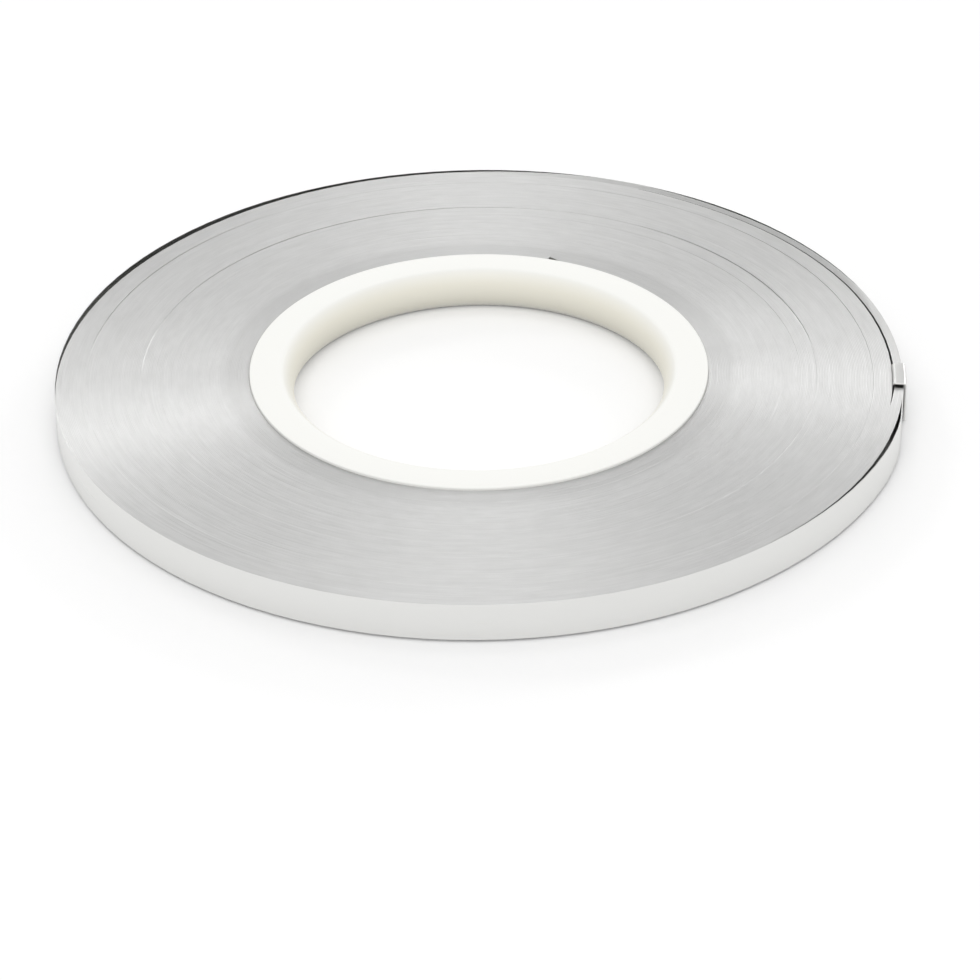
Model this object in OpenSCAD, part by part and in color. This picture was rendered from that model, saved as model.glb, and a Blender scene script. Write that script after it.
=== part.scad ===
// Flat coil of slit nickel strip, wound on a moulded core, with its outer end held by a folded clip.
// The coil lies on its side: its axis is +Z through the origin, and the core's lower face is at z = 0.

/* [Strip] */
// Width of the strip, which is the height of the coil
strip_w = 8; // [5:0.5:25]
// Thickness of the strip
strip_t = 0.15; // [0.1:0.01:0.3]
// Outside diameter of the wound coil
coil_od = 173.5; // [130:0.5:220]

/* [Turn lines] */
// Turns from one line on the coil's ends to the next
turns_per_line = 12; // [8:1:30]
// Depth of a line
line_depth = 0.1; // [0.05:0.01:0.2]
// Width of a line at the face
line_w = 0.2; // [0.1:0.05:0.4]

/* [Core] */
// Diameter of the core's bore
bore_d = 76; // [60:0.1:100]
// Thickness of the core's wall, from the bore to the first turn of strip
core_wall = 9; // [6:0.5:15]
// Height by which the core stands proud of the strip, at each end
core_proud = 0.5; // [0.2:0.1:1.5]
// Radius of the core's inner edges
bore_edge_r = 2.4; // [0.5:0.1:2.9]
// Radius of the core's outer edges
core_edge_r = 0.3; // [0.1:0.1:1]
// Clearance between the core and the first turn
wind_gap = 0.05; // [0.02:0.01:0.2]

/* [Strip start] */
// Angle at which the strip starts on the core
start_az = 71.5; // [0:0.5:360]
// Height of the step that the second turn takes over the strip's start
start_step = 0.5; // [0.2:0.05:1]
// Length over which the step runs out
start_l = 4; // [2:0.5:10]

/* [Lifted turns] */
// Thickness of the band of outer turns that the clip holds
band_t = 1.9; // [1:0.1:4]
// Angle over which the opening behind the band closes again, on its long side
lift_back = 66; // [20:1:90]
// Angle over which the opening closes, on its short side
lift_ahead = 5; // [2:0.5:20]

/* [Loose end] */
// Widest gap between the strip's loose end and the turn inside it
tail_gap = 0.5; // [0.1:0.05:1]
// Angle over which the gap opens, on its way to the clip
tail_open = 66; // [20:1:90]
// Angle over which it closes again, up to the clip's middle
tail_close = 12; // [6:1:30]

/* [Slack turn] */
// Widest gap inside the outermost turn, where it lies slack
slack_gap = 1.8; // [0.2:0.1:2]
// Angle of the middle of the slack stretch around the coil
slack_az = 130; // [110:1:180]
// Angle that the slack stretch covers
slack_span = 108; // [40:1:120]

/* [End clip] */
// Angle of the clip's middle around the coil
clip_az = -3.6; // [-180:0.1:180]
// Length of the clip along the strip
clip_l = 8; // [4:0.5:15]
// Thickness of the clip's sheet
clip_t = 0.3; // [0.15:0.05:0.5]
// Inside radius of the clip's bends
clip_bend = 0.3; // [0.1:0.05:0.4]
// Clearance on each side of the clip's inner leg
clip_fit = 0.06; // [0.05:0.01:0.15]
// Gap between the coil's rim and the clip's outer plate
clip_stand = 0.25; // [0.1:0.05:0.6]
// Gap between the strip's upper edges and the clip's top
clip_rise = 0.35; // [0.1:0.05:0.8]
// Height at which the inner leg ends above the strip's lower edges
leg_lift = 1.5; // [0.5:0.1:3]

/* [Hidden] */
$fn = 180;
nickel = "#c9c9c6";
clip_nickel = "#bdbdba";
ivory = "#f4f2ea";
// Overlap of a cut past the face it starts from
cut_over = 1;
// Chords along the opening: ahead of the clip, at the clip and behind it
ahead_steps = 4;
grip_steps = 6;
back_steps = 32;
// Chords along the gap at the loose end: where it opens and where it closes
tail_open_steps = 32;
tail_close_steps = 8;
// Chords along the gap at the slack stretch
slack_steps = 36;

core_w = strip_w + 2 * core_proud;
core_od = bore_d + 2 * core_wall;
coil_r = coil_od / 2;
coil_low = core_proud;
coil_top = core_proud + strip_w;
wind_r = core_od / 2 + wind_gap;

// The opening is as wide as the clip's leg needs, and the band lies outside it
lift_gap = clip_t + 2 * clip_fit;
lift_r = coil_r - band_t - lift_gap;
grip_a = degrees_along(clip_l + 2 * clip_fit, lift_r) / 2;
lift_start = clip_az - grip_a - lift_ahead;
lift_end = clip_az + grip_a + lift_back;

// The loose end is one strip thick, and ends under the clip
tail_r = coil_r - strip_t;
tail_peak = clip_az - tail_close;
tail_start = tail_peak - tail_open;

// The slack stretch is one strip thick too
slack_start = slack_az - slack_span / 2;

// The lines fill the face from the core to just inside the opening
line_pitch = strip_t * turns_per_line;
line_count = floor((lift_r - wind_r - line_w) / line_pitch);
line_radii = [for (i = [1 : line_count]) wind_r + i * line_pitch];
line_shape = [[-line_w / 2, 0], [0, line_depth], [line_w / 2, 0]];

leg_r = lift_r + clip_fit;
plate_r = coil_r + clip_stand;
flange_z = coil_top + clip_rise;
leg_z = coil_low + leg_lift;
bend_r = min(clip_bend, clip_rise);
bend_out = bend_r + clip_t;
clip_a = degrees_along(clip_l, lift_r);

function polar(r, a) = [r * cos(a), r * sin(a)];

// Angle that a length covers along a circle
function degrees_along(l, r) = l / r * 180 / PI;

// Angles from a up to, and without, b
function span(a, b, n) = [for (i = [0 : n - 1]) a + (b - a) * i / n];

// Width of the opening at an angle: it widens evenly to the clip, and closes again past it
function lift(a) = lift_gap * min(1, (a - lift_start) / lift_ahead, (lift_end - a) / lift_back);

// Width of the gap at the loose end: it starts as narrow as the winding's clearance, and widens faster and faster
function tail(a) = wind_gap + (tail_gap - wind_gap) * min(pow((a - tail_start) / tail_open, 2), (clip_az - a) / tail_close);

// Width of the gap at the slack stretch: half a wave, closed at both ends
function slack(a) = slack_gap * sin((a - slack_start) / slack_span * 180);

// Half of the coil's section: a wound block, with a V for each line on both ends
module coil_section() {
    low = [for (r = line_radii) for (p = line_shape) [r + p.x, coil_low + p.y]];
    top = [for (i = [line_count - 1 : -1 : 0]) for (p = line_shape) [line_radii[i] - p.x, coil_top - p.y]];
    polygon(concat(
        [[wind_r, coil_low]], low, [[coil_r, coil_low]],
        [[coil_r, coil_top]], top, [[wind_r, coil_top]]
    ));
}

// Outline of the opening between the band and the turns inside it
module opening_outline() {
    angles = concat(
        span(lift_start, lift_start + lift_ahead, ahead_steps),
        span(lift_start + lift_ahead, lift_end - lift_back, grip_steps),
        span(lift_end - lift_back, lift_end, back_steps),
        [lift_end]
    );
    inner_wall = [for (a = angles) polar(lift_r, a)];
    outer_wall = [for (i = [len(angles) - 2 : -1 : 1]) polar(lift_r + lift(angles[i]), angles[i])];
    polygon(concat(inner_wall, outer_wall));
}

// Outline of the gap between the strip's loose end and the turn inside it
module tail_outline() {
    angles = concat(
        span(tail_start, tail_peak, tail_open_steps),
        span(tail_peak, clip_az, tail_close_steps),
        [clip_az]
    );
    inner_wall = [for (a = angles) polar(tail_r - tail(a), a)];
    outer_wall = [for (i = [len(angles) - 1 : -1 : 0]) polar(tail_r, angles[i])];
    polygon(concat(inner_wall, outer_wall));
}

// Outline of the gap between the slack stretch and the turn inside it
module slack_outline() {
    angles = span(slack_start, slack_start + slack_span, slack_steps);
    inner_wall = [for (i = [1 : slack_steps - 1]) polar(tail_r - slack(angles[i]), angles[i])];
    outer_wall = [for (i = [slack_steps - 1 : -1 : 0]) polar(tail_r, angles[i])];
    polygon(concat(inner_wall, [polar(tail_r, slack_start + slack_span)], outer_wall));
}

// Outline of the wedge that is left open beside the strip's start
module start_outline() {
    run_out = start_az - degrees_along(start_l, wind_r);
    polygon([
        polar(wind_r - cut_over, start_az),
        polar(wind_r + start_step, start_az),
        polar(wind_r, run_out),
        polar(wind_r - cut_over, run_out)
    ]);
}

module strip_coil() {
    color(nickel)
    difference() {
        rotate_extrude() coil_section();
        linear_extrude(height = core_w) opening_outline();
        linear_extrude(height = core_w) tail_outline();
        linear_extrude(height = core_w) slack_outline();
        linear_extrude(height = core_w) start_outline();
    }
}

// Rounds off the corner at the origin of a section that lies in +X and +Y
module corner_cut(r) {
    difference() {
        translate([-cut_over, -cut_over]) square(r + cut_over);
        translate([r, r]) circle(r = r);
    }
}

module core_section() {
    difference() {
        translate([bore_d / 2, 0]) square([core_wall, core_w]);
        for (end = [0, 1])
            translate([0, end * core_w]) mirror([0, end]) {
                translate([bore_d / 2, 0]) corner_cut(bore_edge_r);
                translate([core_od / 2, 0]) mirror([1, 0]) corner_cut(core_edge_r);
            }
    }
}

module core() {
    color(ivory)
    rotate_extrude() core_section();
}

// Quarter ring of the sheet's thickness, in the +X +Y quarter around the bend's centre
module bend() {
    intersection() {
        difference() {
            circle(r = bend_out);
            circle(r = bend_r);
        }
        square(bend_out);
    }
}

// Section of the clip: the inner leg, the top and the outer plate, with a bend at each fold
module clip_section() {
    bend_z = flange_z - bend_r;
    in_x = leg_r + bend_out;
    out_x = plate_r - bend_r;
    translate([leg_r, leg_z]) square([clip_t, bend_z - leg_z]);
    translate([in_x, bend_z]) mirror([1, 0]) bend();
    translate([in_x, flange_z]) square([out_x - in_x, clip_t]);
    translate([out_x, bend_z]) bend();
    translate([plate_r, coil_low]) square([clip_t, bend_z - coil_low]);
}

module end_clip() {
    color(clip_nickel)
    rotate([0, 0, clip_az - clip_a / 2]) rotate_extrude(angle = clip_a) clip_section();
}

strip_coil();
core();
end_clip();
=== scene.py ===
import math

import bpy
import numpy as np
from mathutils import Matrix, Vector


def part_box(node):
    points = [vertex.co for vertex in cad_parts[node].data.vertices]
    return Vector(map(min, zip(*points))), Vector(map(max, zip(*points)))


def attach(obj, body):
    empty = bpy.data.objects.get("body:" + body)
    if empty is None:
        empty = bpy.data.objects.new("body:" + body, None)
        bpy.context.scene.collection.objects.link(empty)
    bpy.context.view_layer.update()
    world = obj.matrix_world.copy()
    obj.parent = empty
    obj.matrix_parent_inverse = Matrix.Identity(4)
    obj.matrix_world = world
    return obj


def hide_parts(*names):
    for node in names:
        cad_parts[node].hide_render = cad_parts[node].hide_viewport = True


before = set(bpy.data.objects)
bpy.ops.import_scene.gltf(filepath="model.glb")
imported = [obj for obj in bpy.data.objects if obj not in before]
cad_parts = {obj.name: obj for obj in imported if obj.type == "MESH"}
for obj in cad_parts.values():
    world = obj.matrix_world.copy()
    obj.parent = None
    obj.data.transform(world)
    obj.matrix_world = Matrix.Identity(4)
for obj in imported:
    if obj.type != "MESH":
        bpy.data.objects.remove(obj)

mm = 0.001
scene = bpy.context.scene
scene.view_settings.view_transform = "Standard"
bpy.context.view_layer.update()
print("frame loaded:", sorted(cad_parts))


# small tools

def linear(hexColour):  # sRGB hex to the linear colour that shaders take
    s = np.array([int(hexColour[i:i + 2], 16) for i in (1, 3, 5)]) / 255
    return (*np.where(s <= 0.04045, s / 12.92, ((s + 0.055) / 1.055) ** 2.4).tolist(), 1.0)


def addNode(tree, kind, settings=None, values=None, links=None):
    # a node, its settings, the values of its sockets and what feeds them
    node = tree.nodes.new(kind)
    for name, value in (settings or {}).items():
        setattr(node, name, value)
    for name, value in (values or {}).items():
        node.inputs[name].default_value = value
    for name, source in (links or {}).items():
        tree.links.new(source, node.inputs[name])
    return node


def newMaterial(name):  # an empty material and its node tree
    material = bpy.data.materials.new(name)
    material.use_nodes = True
    material.node_tree.nodes.clear()
    return material, material.node_tree


def sharpenBetweenSlots(mesh, slotOfLoop):  # an edge whose two faces differ in material is sharp
    edgeOfLoop = np.empty(len(mesh.loops), np.int32)
    sharp = np.empty(len(mesh.edges), bool)
    mesh.loops.foreach_get("edge_index", edgeOfLoop)
    mesh.attributes["sharp_edge"].data.foreach_get("value", sharp)
    lowest, highest = np.full(len(sharp), slotOfLoop.max()), np.full(len(sharp), slotOfLoop.min())
    np.minimum.at(lowest, edgeOfLoop, slotOfLoop)
    np.maximum.at(highest, edgeOfLoop, slotOfLoop)
    mesh.attributes["sharp_edge"].data.foreach_set("value", sharp | (lowest < highest))


def newMesh(name, points, faceArrays, uvArrays=None, slotArrays=None, sharpDeg=40):
    # a piece from points in mm and arrays of faces, each array with its UVs and its material slots
    mesh = bpy.data.meshes.new(name)
    faceArrays = [np.asarray(f, np.int32) for f in faceArrays]
    loops = np.concatenate([f.ravel() for f in faceArrays])
    sizes = np.concatenate([np.full(len(f), f.shape[1]) for f in faceArrays])
    starts = np.concatenate([[0], np.cumsum(sizes)[:-1]])
    mesh.vertices.add(len(points))
    mesh.vertices.foreach_set("co", (np.asarray(points) * mm).astype(np.float32).ravel())
    mesh.loops.add(len(loops))
    mesh.loops.foreach_set("vertex_index", loops)
    mesh.polygons.add(len(sizes))
    mesh.polygons.foreach_set("loop_start", starts.astype(np.int32))
    if slotArrays is not None:
        slots = np.concatenate(slotArrays).astype(np.int32)
        mesh.polygons.foreach_set("material_index", slots)
    mesh.update(calc_edges=True)
    if uvArrays is not None:
        layer = mesh.uv_layers.new(name="along")
        uv = np.concatenate([u.reshape(-1, 2) for u in uvArrays])
        layer.data.foreach_set("uv", uv.astype(np.float32).ravel())
    mesh.shade_smooth()
    mesh.set_sharp_from_angle(angle=math.radians(sharpDeg))
    if slotArrays is not None:
        sharpenBetweenSlots(mesh, np.repeat(slots, sizes))
    piece = bpy.data.objects.new(name, mesh)
    scene.collection.objects.link(piece)
    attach(piece, "root")
    return piece


def cells(grid):  # the four corners of each cell of a grid, in turn
    corners = np.stack([grid[:-1, :-1], grid[1:, :-1], grid[1:, 1:], grid[:-1, 1:]], 2)
    return corners.reshape(-1, 4, *grid.shape[2:])


def onCircle(radius, degrees, z):  # points at radii and angles: x = radius x cosine, y = radius x sine
    a = np.radians(degrees)
    return np.stack(np.broadcast_arrays(radius * np.cos(a), radius * np.sin(a), z), -1)


def arc(centre, radius, startDeg, endDeg, steps):  # part of a circle as a profile of radius and height
    a = np.radians(np.linspace(startDeg, endDeg, steps + 1))
    return np.stack([centre[0] + radius * np.cos(a), centre[1] + radius * np.sin(a)], -1)


def ease(x):  # from 0 to 1 with level ends: 3 x squared - 2 x cubed
    return x * x * (3 - 2 * x)


# the wound strip

coil = {
    "coreGapR": 47.05,        # inside of the first turn
    "turnMm": 0.32,           # two turns of strip are drawn as one
    "rampTurns": 3,           # turns at the core over which the pitch grows to its full size
    "rampFrom": 0.1,          # and where on that way the first one starts
    "stripMm": 0.15,          # the loose outer end is drawn at its own thickness
    "sides": 108,             # stations round the coil
    "endDeg": -3.6,           # the strip's outer end, under the clip
    "meanR": 67.0,            # where lengths along the strip are measured
    "edgeMm": 0.018,          # rounding of a turn's edge
    "edgeShare": 0.16,        # part of a turn that the rounding takes, on each side
    "wanderMm": 0.002,        # how far the edges of the turns wander up and down
    "tiltMm": 0.0018,         # how far one edge of a turn stands above the other
    "knots": 22,              # changes of height in one turn
    "steps": (                # radius, rise towards the rim
        (51.5, 0.02), (62.2, 0.02), (65.8, 0.03), (69.1, 0.09), (80.6, 0.07),
    ),
    "faceDropMm": 0.04,       # how far the face lies under the strip's edge, at the core and at the rim
    "grooves": (              # turns that stand apart: radius, depth, widening, middle, half length in degrees
        (69.3, 1.2, 0.10, 33, 27), (69.0, 0.08, 0, 125, 52),
        (80.5, 0.16, 0, 30, 26), (80.5, 0.4, 0, 151, 25), (65.8, 0.06, 0, 30, 28),
        (84.75, 0.3, 0, 48, 42), (85.05, 0.3, 0, 52, 40), (85.4, 0.3, 0, 54, 40),
        (85.7, 0.3, 0, 56, 40), (86.05, 0.3, 0, 58, 42),
    ),
    "marks": 70,              # faint short lines, by chance
    "markR": (50.05, 83.43),  # between these radii
    "markMm": 0.02,           # depth of the deepest
    "markMiddleDeg": (10, 340),
    "markDeg": (4, 16),       # half of their length
    "openR": 84.43,           # inner wall of the opening behind the clipped turns
    "openMm": 0.42,
    "openDeg": (-11.3, -6.35, -0.85, 65.1),  # starts, full, full, closed
    "tailMm": 0.72,           # how far the loose end stands off the coil
    "tailDeg": (-52, -22, -17, -9),  # starts, widest, widest, closed
    "tailPower": 1.5,         # it lifts off slowly at first
    "tailStations": (-15, -13, -11),  # for a smooth bend where it closes
    "slack": ((22, 64, 0.3), (72, 186, 1.12)),  # where the last turn lies slack: starts, ends, gap in mm
    "swell": ((42, 64, 0.22), (74, 106, 0.2), (118, 180, 0.31)),  # and where those gaps are wider still
    "slackR": 81.0,           # the turns outside this radius give way to the gap
    "startDeg": (66.7, 71.5),  # the wedge beside the strip's start
    "startShutDeg": 0.15,     # the wedge's blunt end closes over this angle
    "startMm": 1.6,           # how far the second turn stands off at the start
    "startFadeMm": 4.8,       # the turns within this reach give way
    "seed": 11,
}
perTurn = 3                   # columns in a turn: the low line before it, then the two edges of its crest
nearDeg = 0.01                # for an angle that rounding may have moved


def smoothRandom(place, rng, amount):  # random heights at whole numbers, joined by smooth curves
    knots = rng.normal(0, amount, int(place.max()) + 3)
    whole = np.floor(place).astype(int)
    part = ease(place - whole)
    return knots[whole] * (1 - part) + knots[whole + 1] * part


def makeCoil(c):
    # a spiral: radius = start of the turn + its pitch x share of the turn, height = face + wander along it
    lowCorner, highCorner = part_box("strip_coil")
    zLow, zTop = lowCorner[2] / mm, highCorner[2] / mm
    rimR = (highCorner[1] - lowCorner[1]) / 2 / mm
    rng = np.random.default_rng(c["seed"])

    # pitch of each turn: next to nothing at the core, even to the opening and to the rim, then one strip
    inner = round((c["openR"] - c["coreGapR"]) / c["turnMm"]) + 1
    outer = round((rimR - c["openR"]) / c["turnMm"])
    ramp = np.minimum(1, (np.arange(inner) + c["rampFrom"]) / c["rampTurns"])
    pitch = np.concatenate([
        ramp * (c["openR"] - c["coreGapR"]) / ramp.sum(),
        np.full(outer - 1, (rimR - c["openR"] - 2 * c["stripMm"]) / (outer - 1)),
        np.full(2, c["stripMm"]),
    ])
    turns = len(pitch) - 1
    startR = c["coreGapR"] + np.concatenate([[0], np.cumsum(pitch)])

    # stations: even ones, and those where an opening changes
    changes = np.array([
        *c["openDeg"], *c["tailDeg"], *c["tailStations"],
        *c["startDeg"], c["startDeg"][1] + c["startShutDeg"],
        *(angle for stretch in c["slack"] for angle in stretch[:2]),
    ])
    even = np.arange(c["sides"] + 1) / c["sides"]
    share = np.unique(np.concatenate([even, ((changes - c["endDeg"]) % 360) / 360]))
    degrees = c["endDeg"] + 360 * share
    signed = np.where(degrees > 180, degrees - 360, degrees)
    stations = len(share)

    # columns of points, and their radii before anything stands off
    turnOf = np.append(np.repeat(np.arange(turns), perTurn), turns)
    kind = np.append(np.tile(np.arange(perTurn), turns), 0)
    across = np.array([0, c["edgeShare"], 1 - c["edgeShare"]])[kind][:, None]
    columns = len(turnOf)
    number = np.arange(columns)[:, None]
    lineR = startR[:turns + 1, None] + pitch[:, None] * share
    r = lineR[turnOf] * (1 - across) + lineR[np.minimum(turnOf + 1, turns)] * across
    wound = turnOf[:, None] + share

    # behind the clip's leg the outer turns move out, widening evenly to the leg and closing past it
    a0, a1, a2, a3 = c["openDeg"]
    wide = np.minimum((signed - a0) / (a1 - a0), (a3 - signed) / (a3 - a2))
    opening = c["openMm"] * np.clip(wide, 0, 1)
    split = perTurn * inner   # the line where the turns part, after the end of a turn
    ahead = share > 0.5       # before it, the same line is one turn further in
    rise = np.clip((r[-1] - r) / (r[-1] - c["openR"]), 0, 1)
    r = np.where(number > np.where(ahead, split - perTurn, split), r + opening * rise, r)

    # the loose end stands off ahead of the clip
    tail = perTurn * (turns - 1)  # the line inside the loose end
    b0, b1, b2, b3 = c["tailDeg"]
    back = degrees - 360
    grow = np.clip((back - b0) / (b1 - b0), 0, 1) ** c["tailPower"]
    shut = np.clip((back - b2) / (b3 - b2), 0, 1)
    r = np.where(number > tail, r + c["tailMm"] * grow * (1 - ease(shut)), r)

    # where the last turn lies slack, the turns inside it give way by half a wave
    slack = sum(gap * np.sin(np.pi * np.clip((degrees - s0) / (s1 - s0), 0, 1))
                for s0, s1, gap in (*c["slack"], *c["swell"]))
    loosen = np.clip((r - c["slackR"]) / (r[tail] - c["slackR"]), 0, 1)
    r = np.where(number <= tail, r - slack * loosen, r)

    # at the core the turns climb over the strip's start
    s0, s1 = c["startDeg"]
    onStart = (signed > s0) & (signed < s1 + nearDeg)
    climb = c["startMm"] * np.where(onStart, (signed - s0) / (s1 - s0), 0)
    r = r + climb * np.clip(1 - (r - c["coreGapR"]) / c["startFadeMm"], 0, 1) ** 2

    # grooves along single lines: the fixed ones, then those by chance
    chance, marks = np.random.default_rng(c["seed"] + 1), c["marks"]
    shallow = zip(
        chance.uniform(*c["markR"], marks), chance.uniform(0, c["markMm"], marks), np.zeros(marks),
        chance.uniform(*c["markMiddleDeg"], marks), chance.uniform(*c["markDeg"], marks),
    )
    trench = np.zeros_like(r)
    for at, depth, widening, middle, reach in (*c["grooves"], *shallow):
        line = perTurn * np.argmin(np.abs(startR[:turns] - at))
        bump = 1 - np.clip((degrees - middle) / reach, -1, 1) ** 2
        trench[line] += depth * bump
        r[line - 1] -= widening / 2 * bump
        r[line + 1] += widening / 2 * bump

    def faceHeight():  # steps up, an even fall that takes them back, wander and tilt, less the grooves
        total = sum(h for at, h in c["steps"])
        fall = c["faceDropMm"] + total * (r - c["coreGapR"]) / (rimR - c["coreGapR"])
        steps = sum(h * (r > at) for at, h in c["steps"]) - fall
        tilt = smoothRandom(wound * c["knots"], rng, c["tiltMm"]) * np.array([0, 1, -1])[kind][:, None]
        wander = smoothRandom(wound * c["knots"], rng, c["wanderMm"])
        drop = np.where(kind == 0, c["edgeMm"], 0)[:, None]
        return np.minimum(steps + tilt + wander - drop - trench - c["wanderMm"], 0)

    # point numbers: the last station of a turn is the first of the next one
    count = columns * (stations - 1)
    grid = np.arange(count).reshape(columns, stations - 1)
    nextTurn = np.append(grid[perTurn:, 0], count + np.arange(perTurn))
    topIds = np.hstack([grid, nextTurn[:, None]])
    lowIds = topIds + count + perTurn
    sheets = onCircle(r, degrees, zTop + faceHeight()), onCircle(r, degrees, zLow - faceHeight())
    points = np.vstack([np.vstack([p[:, :-1].reshape(-1, 3), p[-perTurn:, -1]]) for p in sheets])
    along = wound * 2 * math.pi * (c["meanR"] * mm)  # metres along the strip

    def stationAt(angle):  # number of the station nearest to an angle
        return int(np.argmin(np.abs(share - ((angle - c["endDeg"]) % 360) / 360)))

    # runs of cells left open: a column, its first and last station
    runs = [(split - perTurn, stationAt(a0), stations - 1), (split, 0, stationAt(a3))]
    runs += [(tail, stationAt(stretch[0]), stationAt(stretch[1])) for stretch in ((b0, b3), *c["slack"])]
    isSolid = np.ones((columns - 1, stations - 1), bool)
    for column, first, last in runs:
        isSolid[column, first:last] = False
    isSolid = isSolid.ravel()
    faceUv = cells(np.stack([along, r * mm], -1))[isSolid]
    faces = [cells(topIds)[isSolid], cells(lowIds)[isSolid][:, ::-1]]
    uvs = [faceUv, faceUv[:, ::-1]]
    slots = [np.zeros(len(faceUv)), np.zeros(len(faceUv))]

    def wall(column, first, last, outward):  # from the lower face up to the upper one
        span = slice(first, last + 1)
        f = cells(np.stack([lowIds[column, span], topIds[column, span]]))
        ends = [np.full(last - first + 1, z * mm) for z in (zLow, zTop)]
        u = cells(np.stack([np.stack([along[column, span], z], -1) for z in ends]))
        faces.append(f[:, ::-1] if outward else f)
        uvs.append(u[:, ::-1] if outward else u)
        slots.append(np.ones(len(f)))

    wall(0, 0, stations - 1, False)
    wall(columns - 1, 0, stations - 1, True)
    for column, first, last in runs:
        wall(column, first, last, True)
        wall(column + 1, first, last, False)

    def cap(column, width, station, forward):  # closes an end of the strip or of an opening
        span = slice(column, column + width + 1)
        f = np.concatenate([topIds[span, station], lowIds[span, station][::-1]])[None, :]
        faces.append(f if forward else f[:, ::-1])
        uvs.append(np.zeros((1, f.shape[1], 2)))
        slots.append(np.ones(1))

    cap(0, perTurn, 0, False)
    cap(tail, perTurn, stations - 1, True)
    cap(split - perTurn, 1, runs[0][1], True)
    cap(split, 1, runs[1][2], False)
    for column, first, last in runs[2:]:
        cap(column, 1, first, True)
        cap(column, 1, last, False)

    piece = newMesh("strip_winding", points, faces, uvs, slots)
    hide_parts("strip_coil")
    return piece


winding = makeCoil(coil)
print("strip:", len(winding.data.polygons), "faces")


# the core ring

ring = {
    "sides": 288,
    "boreR": 38.0,            # at the waist
    "flareMm": 2.4,           # how much wider the bore is at its ends
    "outerEdgeMm": 0.3,       # radius of the outer edges
    "boreEdgeMm": 0.5,        # reach of the small rounding at the bore's ends
    "boreSteps": 24,
    "bendSteps": 6,
}


def makeCore(c):
    # a lathe: one closed profile of radius and height, turned about the axis
    # the bore's wall is an arc of radius (half height squared + flare squared) / twice the flare
    lowCorner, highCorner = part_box("core")
    z0, z1 = lowCorner[2] / mm, highCorner[2] / mm
    outR, half = highCorner[1] / mm, (z1 - z0) / 2
    edge, bends, flare, reach = c["outerEdgeMm"], c["bendSteps"], c["flareMm"], c["boreEdgeMm"]
    bulgeR = (half ** 2 + flare ** 2) / (2 * flare)
    lean = math.degrees(math.asin(half / bulgeR))
    skip = math.degrees(reach / bulgeR)
    waist = (c["boreR"] + bulgeR, z0 + half)
    wall = arc(waist, bulgeR, 180 - lean + skip, 180 + lean - skip, c["boreSteps"])

    # a quadratic curve from the top, by way of the sharp edge, to the wall
    sharpEdge = np.array([c["boreR"] + flare, z1])
    u = np.arange(bends)[:, None] / bends
    upper = (1 - u) ** 2 * (sharpEdge + (reach, 0)) + 2 * u * (1 - u) * sharpEdge + u ** 2 * wall[0]
    lower = (upper * (1, -1) + (0, z0 + z1))[::-1]
    profile = np.vstack([
        arc((outR - edge, z0 + edge), edge, 270, 360, bends),
        arc((outR - edge, z1 - edge), edge, 0, 90, bends),
        upper, wall, lower,
    ])
    degrees = np.arange(c["sides"]) * 360 / c["sides"]
    points = onCircle(profile[:, 0][:, None], degrees[None, :], profile[:, 1][:, None])
    ids = np.arange(points.size // 3).reshape(points.shape[:2])
    ids = np.pad(ids, ((0, 1), (0, 1)), mode="wrap")
    piece = newMesh("core_ring", points.reshape(-1, 3), [cells(ids)[:, ::-1]])
    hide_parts("core")
    return piece


coreRing = makeCore(ring)
print("core:", len(coreRing.data.polygons), "faces")


# the folded clip

clip = {
    "azimuthDeg": -3.6,
    "lengthMm": 8.0,
    "lengthR": 84.43,         # where that length is measured
    "sheetMm": 0.3,
    "legR": 84.49,            # inner face of the leg in the opening
    "plateR": 87.0,           # inner face of the plate outside the rim
    "topMm": 8.85,            # underside of the flange
    "legLowMm": 2.0,
    "plateLowMm": 0.5,
    "bendMm": 0.3,            # inside radius of the bends
    "bendSteps": 10,
    "steps": 16,
    "edgeMm": 0.04,           # rounding of the cut edges
}


def makeClip(c):
    # a bent sheet: its closed section, carried along an arc and drawn in a little at both cut edges
    t, b, bends = c["sheetMm"], c["bendMm"], c["bendSteps"]
    inX, outX, bendZ = c["legR"] + t + b, c["plateR"] - b, c["topMm"] - b
    outside = np.vstack([
        [(c["legR"], c["legLowMm"])],
        arc((inX, bendZ), b + t, 180, 90, bends),
        arc((outX, bendZ), b + t, 90, 0, bends),
        [(c["plateR"] + t, c["plateLowMm"])],
    ])
    inside = np.vstack([
        [(c["plateR"], c["plateLowMm"])],
        arc((outX, bendZ), b, 0, 90, bends),
        arc((inX, bendZ), b, 90, 180, bends),
        [(c["legR"] + t, c["legLowMm"])],
    ])
    middle = (outside + inside[::-1]) / 2
    offset = (outside - inside[::-1]) / 2
    spread = math.degrees(c["lengthMm"] / c["lengthR"]) / 2
    edge = spread * c["edgeMm"] * 2 / c["lengthMm"]
    degrees = np.concatenate([[-spread], np.linspace(-spread + edge, spread - edge, c["steps"]), [spread]])
    shrink = np.where(np.abs(degrees) == spread, 1 - 2 * c["edgeMm"] / t, 1)
    centreLine = np.vstack([middle, middle[::-1]])[:, None, :]
    section = centreLine + np.vstack([offset, -offset[::-1]])[:, None, :] * shrink[None, :, None]
    points = onCircle(section[..., 0], c["azimuthDeg"] + degrees[None, :], section[..., 1])
    ids = np.arange(points.size // 3).reshape(points.shape[:2])
    wrapped = np.vstack([ids, ids[:1]])
    outer, inner = ids[:len(middle)], ids[::-1][:len(middle)]
    cutA, cutB = (cells(np.stack([outer[:, end], inner[:, end]], 1)) for end in (0, -1))
    piece = newMesh("end_clip_sheet", points.reshape(-1, 3), [cells(wrapped), cutA[:, ::-1], cutB])
    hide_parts("end_clip")
    return piece


endClip = makeClip(clip)
print("clip:", len(endClip.data.polygons), "faces")


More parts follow.
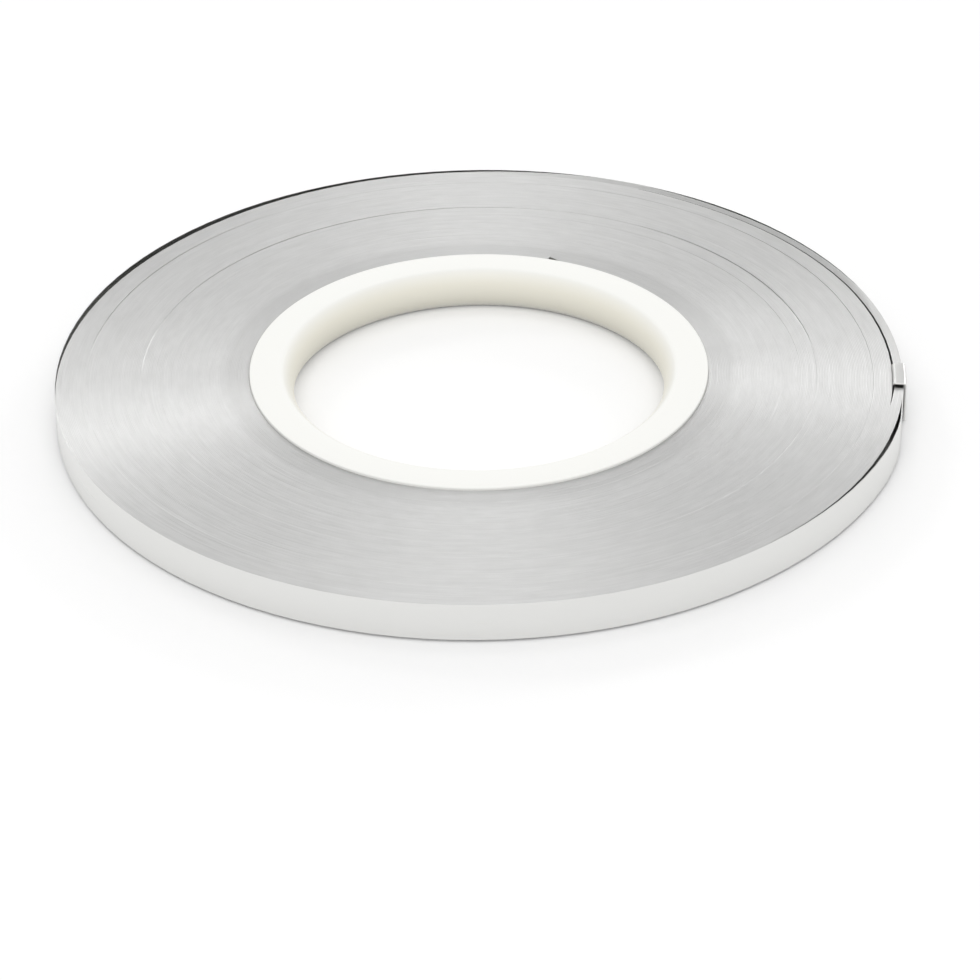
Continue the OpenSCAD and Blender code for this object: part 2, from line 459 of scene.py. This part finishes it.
# materials
# Mix has its share in socket 0, numbers in 2 and 3, colours in 6 and 7; Map Range takes 1..2 to 3..4

edgeFinish = {
    "tones": ("#bcbcbb", "#e0e0df"),  # dullest and brightest
    "rough": (0.36, 0.46),
    "dragScale": (50, 4000, 1),  # per metre: lines of 20 x 0.25 mm, drawn coarser than real ones, to show
    "dragDetail": 3,
    "scuffsAround": (12, 12, 12),  # per radian: scuffs about 5.6 mm long in the middle of the face
    "scuffsAcross": 900,      # per metre: and 1.1 mm wide
    "scuffDetail": 3,
    "scuffShare": 0.42,       # against the drag lines
    "coreShadeM": (0.0512, 0.0535),  # painted shade on the turns next to the core: full up to here, gone from here
    # how much of the tone the painted shade next to the core leaves
    "coreShadeShare": 0.55,
    "anisotropic": 0.85,
    "turn": 0.25,             # a quarter turn, so that the gloss spreads across the turns
}


def slitEdges(c):  # nickel, slit: satin, with fine drag lines along the strip, faint scuffs, painted shade on the turns next to the core and a fan of gloss
    material, tree = newMaterial("nickel strip, slit edges")
    uv = addNode(tree, "ShaderNodeUVMap", {"uv_map": "along"})
    stretch = addNode(tree, "ShaderNodeMapping", values={"Scale": c["dragScale"]},
                      links={"Vector": uv.outputs[0]})
    streaks = addNode(tree, "ShaderNodeTexNoise", values={"Scale": 1, "Detail": c["dragDetail"]},
                      links={"Vector": stretch.outputs[0]})
    place = addNode(tree, "ShaderNodeTexCoord")
    flat = addNode(tree, "ShaderNodeVectorMath", {"operation": "MULTIPLY"}, {1: (1, 1, 0)},
                   {0: place.outputs["Object"]})
    fromAxis = addNode(tree, "ShaderNodeVectorMath", {"operation": "LENGTH"}, links={0: flat.outputs[0]})
    around = addNode(tree, "ShaderNodeVectorMath", {"operation": "NORMALIZE"}, links={0: flat.outputs[0]})
    across = addNode(tree, "ShaderNodeMath", {"operation": "MULTIPLY"}, {1: c["scuffsAcross"]},
                     {0: fromAxis.outputs["Value"]})
    height = addNode(tree, "ShaderNodeCombineXYZ", links={2: across.outputs[0]})
    turned = addNode(tree, "ShaderNodeVectorMath", {"operation": "MULTIPLY_ADD"}, {1: c["scuffsAround"]},
                     {0: around.outputs[0], 2: height.outputs[0]})
    scuffs = addNode(tree, "ShaderNodeTexNoise", values={"Scale": 1, "Detail": c["scuffDetail"]},
                     links={"Vector": turned.outputs[0]})
    wear = addNode(tree, "ShaderNodeMix", {"data_type": "FLOAT"}, {0: c["scuffShare"]},
                   {2: streaks.outputs[0], 3: scuffs.outputs[0]})
    # painted shade: the turns next to the core are darkened, fading out over a few millimetres
    fullShade, even = c["coreShadeM"]
    coreShade = addNode(tree, "ShaderNodeMapRange", values={1: fullShade, 2: even, 3: c["coreShadeShare"], 4: 1},
                         links={0: fromAxis.outputs["Value"]})
    # the wear tone times the painted shade next to the core
    wearAndShade = addNode(tree, "ShaderNodeMath", {"operation": "MULTIPLY"},
                   links={0: wear.outputs[0], 1: coreShade.outputs[0]})
    low, high = c["tones"]
    tone = addNode(tree, "ShaderNodeMix", {"data_type": "RGBA"}, {6: linear(low), 7: linear(high)},
                   {0: wearAndShade.outputs[0]})
    smooth, coarse = c["rough"]
    rough = addNode(tree, "ShaderNodeMapRange", values={3: smooth, 4: coarse}, links={0: streaks.outputs[0]})
    tangent = addNode(tree, "ShaderNodeTangent", {"direction_type": "UV_MAP", "uv_map": "along"})
    metal = addNode(
        tree, "ShaderNodeBsdfPrincipled",
        values={"Metallic": 1, "Anisotropic": c["anisotropic"], "Anisotropic Rotation": c["turn"]},
        links={"Base Color": tone.outputs[2], "Roughness": rough.outputs[0], "Tangent": tangent.outputs[0]},
    )
    addNode(tree, "ShaderNodeOutputMaterial", links={"Surface": metal.outputs[0]})
    return material


faceFinish = {
    "tone": "#e6e6e4",
    "rough": (0.2, 0.3),
    "markScale": (40, 3000, 1),  # per metre: marks of 25 x 0.33 mm, drawn coarser than real ones, to show
    "markDetail": 3,
}


def rolledFace(c):  # nickel, cold rolled: bright face with faint roll marks along the strip
    material, tree = newMaterial("nickel strip, rolled face")
    uv = addNode(tree, "ShaderNodeUVMap", {"uv_map": "along"})
    stretch = addNode(tree, "ShaderNodeMapping", values={"Scale": c["markScale"]},
                      links={"Vector": uv.outputs[0]})
    marks = addNode(tree, "ShaderNodeTexNoise", values={"Scale": 1, "Detail": c["markDetail"]},
                    links={"Vector": stretch.outputs[0]})
    smooth, coarse = c["rough"]
    rough = addNode(tree, "ShaderNodeMapRange", values={3: smooth, 4: coarse}, links={0: marks.outputs[0]})
    metal = addNode(tree, "ShaderNodeBsdfPrincipled", values={"Metallic": 1, "Base Color": linear(c["tone"])},
                    links={"Roughness": rough.outputs[0]})
    addNode(tree, "ShaderNodeOutputMaterial", links={"Surface": metal.outputs[0]})
    return material


clipFinish = {
    "tone": "#dcdcda",
    "rough": (0.24, 0.36),
    "rubScale": 900,          # per metre: rubbed patches of 1.1 mm
    "rubDetail": 3,
}


def clipSheet(c):  # nickel sheet, rolled and folded: a softer gloss that handling has left uneven
    material, tree = newMaterial("nickel sheet, rolled and folded")
    place = addNode(tree, "ShaderNodeTexCoord")
    rubs = addNode(tree, "ShaderNodeTexNoise", values={"Scale": c["rubScale"], "Detail": c["rubDetail"]},
                   links={"Vector": place.outputs["Object"]})
    smooth, coarse = c["rough"]
    rough = addNode(tree, "ShaderNodeMapRange", values={3: smooth, 4: coarse}, links={0: rubs.outputs[0]})
    metal = addNode(tree, "ShaderNodeBsdfPrincipled", values={"Metallic": 1, "Base Color": linear(c["tone"])},
                    links={"Roughness": rough.outputs[0]})
    addNode(tree, "ShaderNodeOutputMaterial", links={"Surface": metal.outputs[0]})
    return material


coreFinish = {
    "tones": ("#faf7ea", "#f9f9f5"),  # in the bore, painted warm shade; on the faces
    "warmShadeReachM": (0.0383, 0.0404),  # the bore's painted warm shade up to here, the faces' tone from here
    "rough": 0.45,
    "specular": 0.3,
    "grainScale": 2500,       # per metre: a mould grain of 0.4 mm
    "grainDetail": 2,
    "grainM": 0.00003,        # its depth
    "grainStrength": 0.1,
}


def mouldedCore(c):  # ivory plastic, moulded: soft gloss on a fine mould grain, and the bore painted creamier to stand for its warm shade
    material, tree = newMaterial("ivory plastic, moulded")
    place = addNode(tree, "ShaderNodeTexCoord")
    grain = addNode(tree, "ShaderNodeTexNoise", values={"Scale": c["grainScale"], "Detail": c["grainDetail"]},
                    links={"Vector": place.outputs["Object"]})
    bump = addNode(tree, "ShaderNodeBump", values={"Strength": c["grainStrength"], "Distance": c["grainM"]},
                   links={"Height": grain.outputs[0]})
    flat = addNode(tree, "ShaderNodeVectorMath", {"operation": "MULTIPLY"}, {1: (1, 1, 0)},
                   {0: place.outputs["Object"]})
    fromAxis = addNode(tree, "ShaderNodeVectorMath", {"operation": "LENGTH"}, links={0: flat.outputs[0]})
    inBore, onFace = c["warmShadeReachM"]
    outside = addNode(tree, "ShaderNodeMapRange", values={1: inBore, 2: onFace},
                      links={0: fromAxis.outputs["Value"]})
    # the bore's creamier tone is painted warm shade; the faces keep the plain ivory
    paintedWarmShade, ivory = c["tones"]
    tone = addNode(tree, "ShaderNodeMix", {"data_type": "RGBA"}, {6: linear(paintedWarmShade), 7: linear(ivory)},
                   {0: outside.outputs[0]})
    plastic = addNode(tree, "ShaderNodeBsdfPrincipled",
                      values={"Roughness": c["rough"], "Specular IOR Level": c["specular"]},
                      links={"Base Color": tone.outputs[2], "Normal": bump.outputs[0]})
    addNode(tree, "ShaderNodeOutputMaterial", links={"Surface": plastic.outputs[0]})
    return material


for piece, materials in (
    (winding, (slitEdges(edgeFinish), rolledFace(faceFinish))),
    (coreRing, (mouldedCore(coreFinish),)),
    (endClip, (clipSheet(clipFinish),)),
):
    for material in materials:
        piece.data.materials.append(material)
print("materials assigned")


# floor, light and camera

studio = {
    "floor": "#fdfdfd",
    "floorHalfM": 6.0,
    "floorZ": -0.00002,       # a hair below the core, so that the two faces don't share a plane
    "floorBounce": "#c8c8c8",  # what the floor throws back on the coil
    "floorGlow": 0.04,        # added where the floor is seen or mirrored, for a white ground
    "white": (1, 1, 1, 1),
    "skyStrength": 0.687,
    "softBoxes": (            # name, elevation and azimuth in degrees, distance, width, height in metres, watts
        ("front", 58, 270, 1.6, 1.3, 1.3, 6.88),
        ("top", 68, 90, 1.6, 1.2, 0.4, 1.42),
        ("back", 28.6, 91, 2.0, 0.24, 0.09, 0.506),
        ("back left", 30, 125, 2.0, 0.5, 0.3, 2.3),
        ("back right", 20, 58, 2.0, 0.5, 0.3, 2.8),
        ("back low", 18, 90, 2.0, 1.2, 0.2, 1.93),
    ),
    "lensMm": 142.68,
    "sensorMm": 36,
    "clipM": (0.01, 50),      # nearest and farthest that the camera sees
    "distanceMm": 756.6,
    "tiltDeg": 32.49,
    "rollDeg": -0.636,
    "aimMm": (2.01, -46.9, 8.5),
}


def softBox(name, elevation, azimuth, distance, width, height, watts):  # an area light that faces the coil
    data = bpy.data.lights.new(name, "AREA")
    data.shape, data.size, data.size_y, data.energy = "RECTANGLE", width, height, watts
    e, a = math.radians(elevation), math.radians(azimuth)
    direction = Vector((math.cos(e) * math.cos(a), math.cos(e) * math.sin(a), math.sin(e)))
    lamp = bpy.data.objects.new(name, data)
    lamp.location = direction * distance
    lamp.rotation_euler = direction.to_track_quat("Z", "Y").to_euler()
    scene.collection.objects.link(lamp)


def setLight(c):  # an even white sky and the soft boxes
    world = bpy.data.worlds.new("studio")
    world.use_nodes = True
    sky = world.node_tree.nodes["Background"]
    sky.inputs["Color"].default_value = c["white"]
    sky.inputs["Strength"].default_value = c["skyStrength"]
    scene.world = world
    for box in c["softBoxes"]:
        softBox(*box)


def paintedBoard(c):  # board, painted matt white: plain white where it is seen or mirrored, greyer as a bounce
    material, tree = newMaterial("painted board, matt white")
    ray = addNode(tree, "ShaderNodeLightPath")
    direct = addNode(tree, "ShaderNodeMath", {"operation": "MAXIMUM"},
                     links={0: ray.outputs["Is Camera Ray"], 1: ray.outputs["Is Glossy Ray"]})
    seen = addNode(tree, "ShaderNodeMath", {"operation": "MAXIMUM"},
                   links={0: direct.outputs[0], 1: ray.outputs["Is Transmission Ray"]})
    tone = addNode(tree, "ShaderNodeMix", {"data_type": "RGBA"},
                   {6: linear(c["floorBounce"]), 7: linear(c["floor"])}, {0: seen.outputs[0]})
    paint = addNode(tree, "ShaderNodeBsdfDiffuse", links={"Color": tone.outputs[2]})
    glow = addNode(tree, "ShaderNodeEmission", values={"Color": c["white"], "Strength": c["floorGlow"]})
    lit = addNode(tree, "ShaderNodeAddShader", links={0: paint.outputs[0], 1: glow.outputs[0]})
    shown = addNode(tree, "ShaderNodeMixShader",
                    links={0: seen.outputs[0], 1: paint.outputs[0], 2: lit.outputs[0]})
    facing = addNode(tree, "ShaderNodeNewGeometry")
    clear = addNode(tree, "ShaderNodeBsdfTransparent")
    oneSided = addNode(tree, "ShaderNodeMixShader",
                       links={0: facing.outputs["Backfacing"], 1: shown.outputs[0], 2: clear.outputs[0]})
    addNode(tree, "ShaderNodeOutputMaterial", links={"Surface": oneSided.outputs[0]})
    return material


def setFloor(c):  # one square, clear from below
    half, z = c["floorHalfM"], c["floorZ"]
    mesh = bpy.data.meshes.new("floor")
    corners = [(-half, -half, z), (half, -half, z), (half, half, z), (-half, half, z)]
    mesh.from_pydata(corners, [], [(0, 1, 2, 3)])
    floor = bpy.data.objects.new("floor", mesh)
    scene.collection.objects.link(floor)
    mesh.materials.append(paintedBoard(c))


def setCamera(c):  # it stands back from the aim by the distance, at the tilt, and is rolled about its own axis
    data = bpy.data.cameras.new("camera")
    data.lens, data.sensor_width = c["lensMm"], c["sensorMm"]
    data.clip_start, data.clip_end = c["clipM"]
    camera = bpy.data.objects.new("camera", data)
    scene.collection.objects.link(camera)
    tilt = math.radians(c["tiltDeg"])
    back = Vector((0, -math.cos(tilt), math.sin(tilt)))
    place = (Vector(c["aimMm"]) + back * c["distanceMm"]) * mm
    turn = Matrix.Rotation(math.pi / 2 - tilt, 4, "X") @ Matrix.Rotation(math.radians(c["rollDeg"]), 4, "Z")
    camera.matrix_world = Matrix.Translation(place) @ turn
    scene.camera = camera


setLight(studio)
setFloor(studio)
setCamera(studio)
print("studio set")
